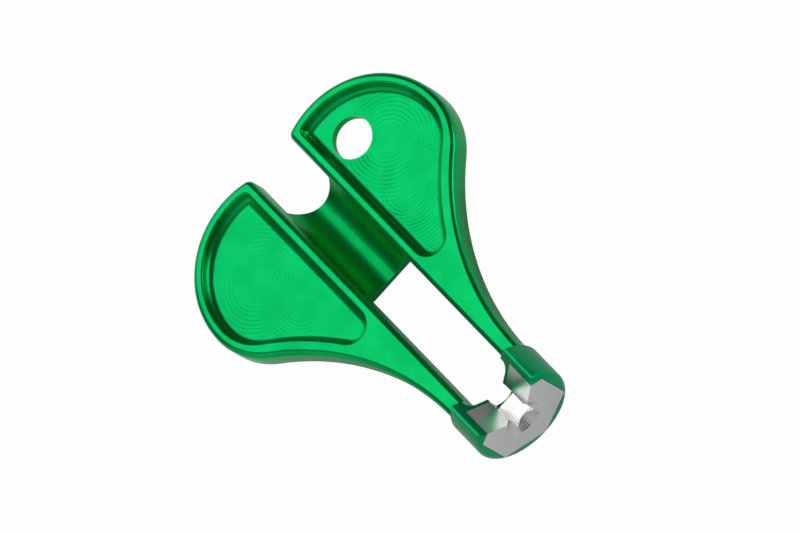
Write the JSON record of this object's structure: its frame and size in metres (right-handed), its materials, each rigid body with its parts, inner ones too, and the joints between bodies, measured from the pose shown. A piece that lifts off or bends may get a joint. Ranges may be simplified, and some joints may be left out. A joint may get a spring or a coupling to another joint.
{
  "type": "spoke wrench",
  "caption": "Winged aluminium spoke wrench with a hexagonal steel insert in its V-shaped nose, slotted to turn a spoke nipple, and a hanging hole in one wing.",
  "frame": {"origin": "middle of the length, under the tool axis, at the height of the lowest point of the nose", "axes": "+Y along the tool axis from the nose to the wings, +X towards the wing with the hanging hole, +Z out of the open side of the V"},
  "size_m": [0.0472, 0.0592, 0.0134],
  "materials": {
    "handle": "green anodised, fine milling marks",
    "hex_insert": "ground and hardened"
  },
  "bodies": {
    "tool": {"handle": "handle", "hex_insert": "hex_insert"}
  },
  "joints": []
}
